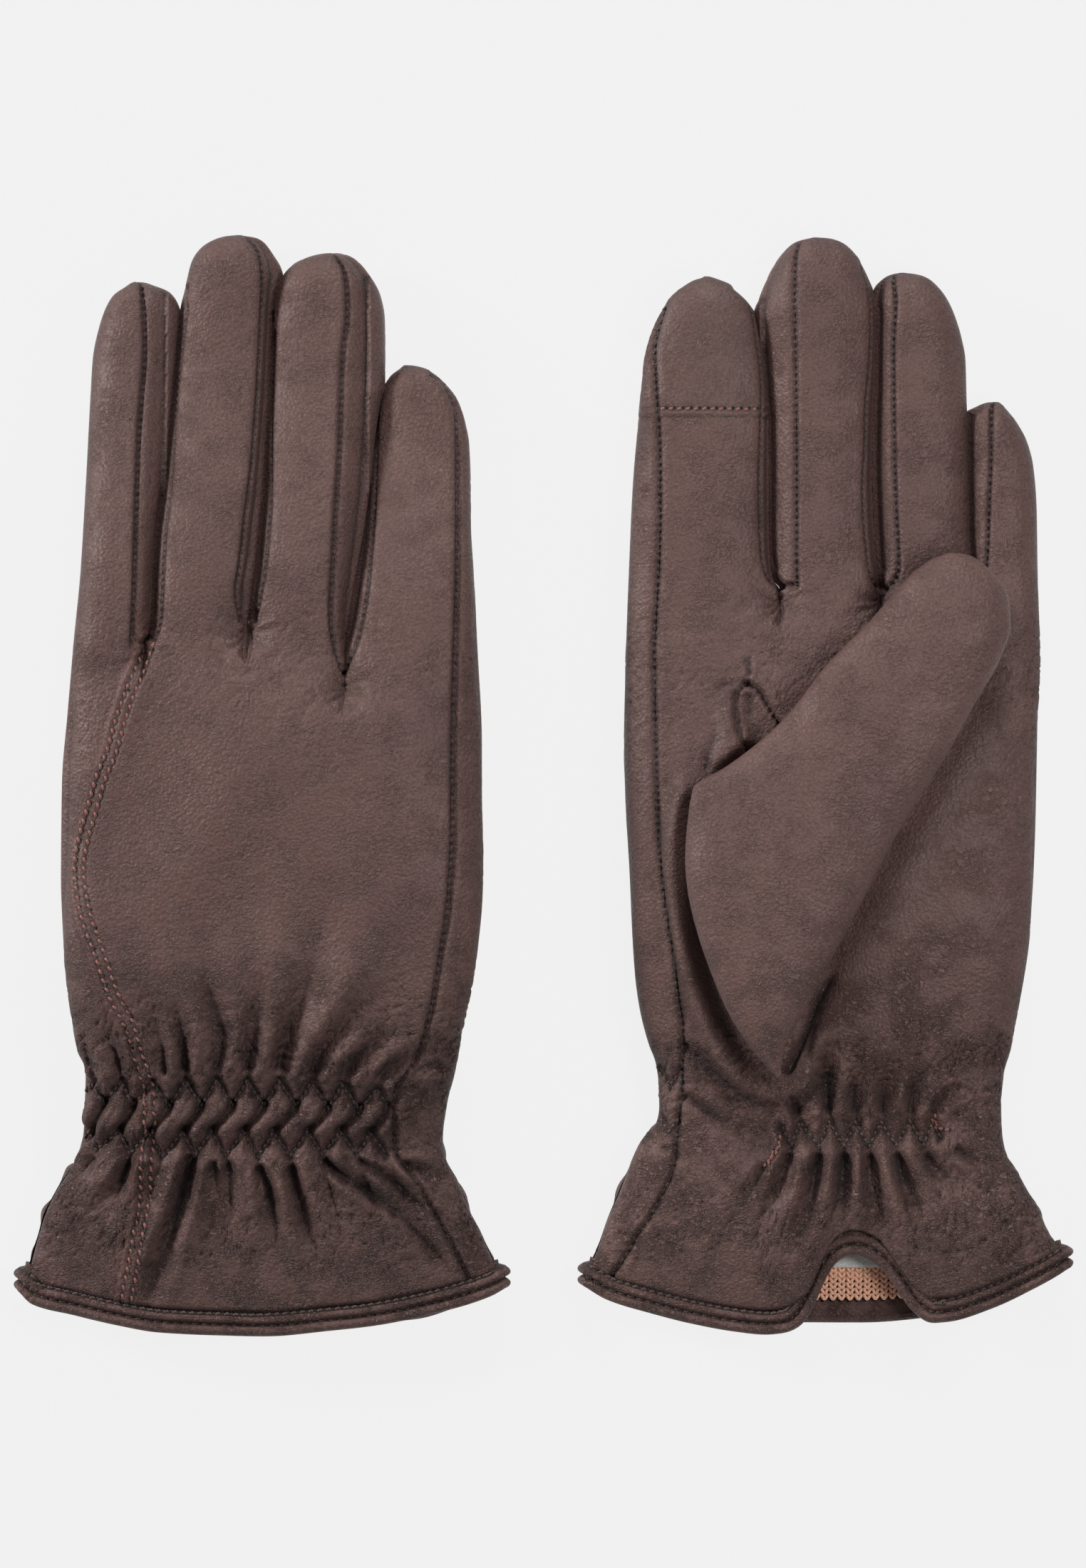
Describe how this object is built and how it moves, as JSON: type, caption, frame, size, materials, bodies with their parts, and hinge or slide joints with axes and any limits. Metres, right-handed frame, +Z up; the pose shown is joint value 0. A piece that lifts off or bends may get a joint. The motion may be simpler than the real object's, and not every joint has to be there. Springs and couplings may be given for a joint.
{
  "type": "pair of leather gloves",
  "caption": "Lined leather gloves with a touch-sensitive index fingertip, gathered elastic wrist and bound flared cuff, lying back up and palm up.",
  "frame": {"origin": "middle of the pair's footprint, on the surface the gloves lie on", "axes": "+Y towards the fingertips, +Z up from the surface, +X from the right-hand glove (back up) to the left-hand glove (palm up)"},
  "size_m": [0.2464, 0.2573, 0.0349],
  "materials": {
    "leather": "soft nappa, faint grain",
    "touch_leather": "smoother conductive leather",
    "binding_leather": "thin rolled leather",
    "lining_knit": "fine ribbed knit",
    "elastic": "woven tape",
    "label": "woven twill"
  },
  "bodies": {
    "right_hand": {"right_back_panel": "leather", "right_side_panel": "leather", "right_palm_panel": "leather", "right_thumb_gusset": "leather", "right_base_fourchettes": "leather", "right_cuff_binding": "binding_leather", "right_wrist_elastic": "elastic", "right_palm_elastic": "elastic", "right_hand_lining": "lining_knit", "right_size_label": "label"},
    "right_index": {"right_index_back": "leather", "right_index_palm": "leather", "right_index_fourchettes": "leather", "right_index_lining": "lining_knit", "right_index_touch_tip": "touch_leather"},
    "right_middle": {"right_middle_back": "leather", "right_middle_palm": "leather", "right_middle_fourchettes": "leather", "right_middle_lining": "lining_knit"},
    "right_ring": {"right_ring_back": "leather", "right_ring_palm": "leather", "right_ring_fourchettes": "leather", "right_ring_lining": "lining_knit"},
    "right_little": {"right_little_back": "leather", "right_little_palm": "leather", "right_little_fourchettes": "leather", "right_little_lining": "lining_knit"},
    "right_thumb": {"right_thumb_leather": "leather", "right_thumb_lining": "lining_knit"},
    "left_hand": {"left_back_panel": "leather", "left_side_panel": "leather", "left_palm_panel": "leather", "left_thumb_gusset": "leather", "left_base_fourchettes": "leather", "left_cuff_binding": "binding_leather", "left_wrist_elastic": "elastic", "left_palm_elastic": "elastic", "left_hand_lining": "lining_knit", "left_size_label": "label"},
    "left_index": {"left_index_back": "leather", "left_index_palm": "leather", "left_index_fourchettes": "leather", "left_index_lining": "lining_knit", "left_index_touch_tip": "touch_leather"},
    "left_middle": {"left_middle_back": "leather", "left_middle_palm": "leather", "left_middle_fourchettes": "leather", "left_middle_lining": "lining_knit"},
    "left_ring": {"left_ring_back": "leather", "left_ring_palm": "leather", "left_ring_fourchettes": "leather", "left_ring_lining": "lining_knit"},
    "left_little": {"left_little_back": "leather", "left_little_palm": "leather", "left_little_fourchettes": "leather", "left_little_lining": "lining_knit"},
    "left_thumb": {"left_thumb_leather": "leather", "left_thumb_lining": "lining_knit"}
  },
  "joints": [
    {"name": "left_glove_lift", "type": "slide", "parent": "right_hand", "child": "left_hand", "axis": [0, 0, 1], "range_m": [0, 0.15]},
    {"name": "right_index_bend", "type": "hinge", "parent": "right_hand", "child": "right_index", "pos_m": [-0.0977, 0.066, 0.00946], "axis": [-1, 0, 0], "range_deg": [0, 80]},
    {"name": "right_middle_bend", "type": "hinge", "parent": "right_hand", "child": "right_middle", "pos_m": [-0.0766, 0.071, 0.00935], "axis": [-1, 0, 0], "range_deg": [0, 80]},
    {"name": "right_ring_bend", "type": "hinge", "parent": "right_hand", "child": "right_ring", "pos_m": [-0.0534, 0.068, 0.00966], "axis": [-1, 0, 0], "range_deg": [0, 80]},
    {"name": "right_little_bend", "type": "hinge", "parent": "right_hand", "child": "right_little", "pos_m": [-0.0294, 0.057, 0.00982], "axis": [-1, 0, 0], "range_deg": [0, 80]},
    {"name": "right_thumb_fold", "type": "hinge", "parent": "right_hand", "child": "right_thumb", "pos_m": [-0.098, -0.018, 0.013], "axis": [-0.2107, 0.9775, 0], "range_deg": [0, 80]},
    {"name": "left_index_bend", "type": "hinge", "parent": "left_hand", "child": "left_index", "pos_m": [0.0371, 0.074, 0.016], "axis": [1, 0, 0], "range_deg": [0, 80]},
    {"name": "left_middle_bend", "type": "hinge", "parent": "left_hand", "child": "left_middle", "pos_m": [0.065, 0.077, 0.016], "axis": [1, 0, 0], "range_deg": [0, 80]},
    {"name": "left_ring_bend", "type": "hinge", "parent": "left_hand", "child": "left_ring", "pos_m": [0.0884, 0.073, 0.016], "axis": [1, 0, 0], "range_deg": [0, 80]},
    {"name": "left_little_bend", "type": "hinge", "parent": "left_hand", "child": "left_little", "pos_m": [0.108, 0.06, 0.016], "axis": [1, 0, 0], "range_deg": [0, 80]},
    {"name": "left_thumb_fold", "type": "hinge", "parent": "left_hand", "child": "left_thumb", "pos_m": [0.033, -0.018, 0.0219], "axis": [0.2107, -0.9775, 0], "range_deg": [0, 80]}
  ]
}
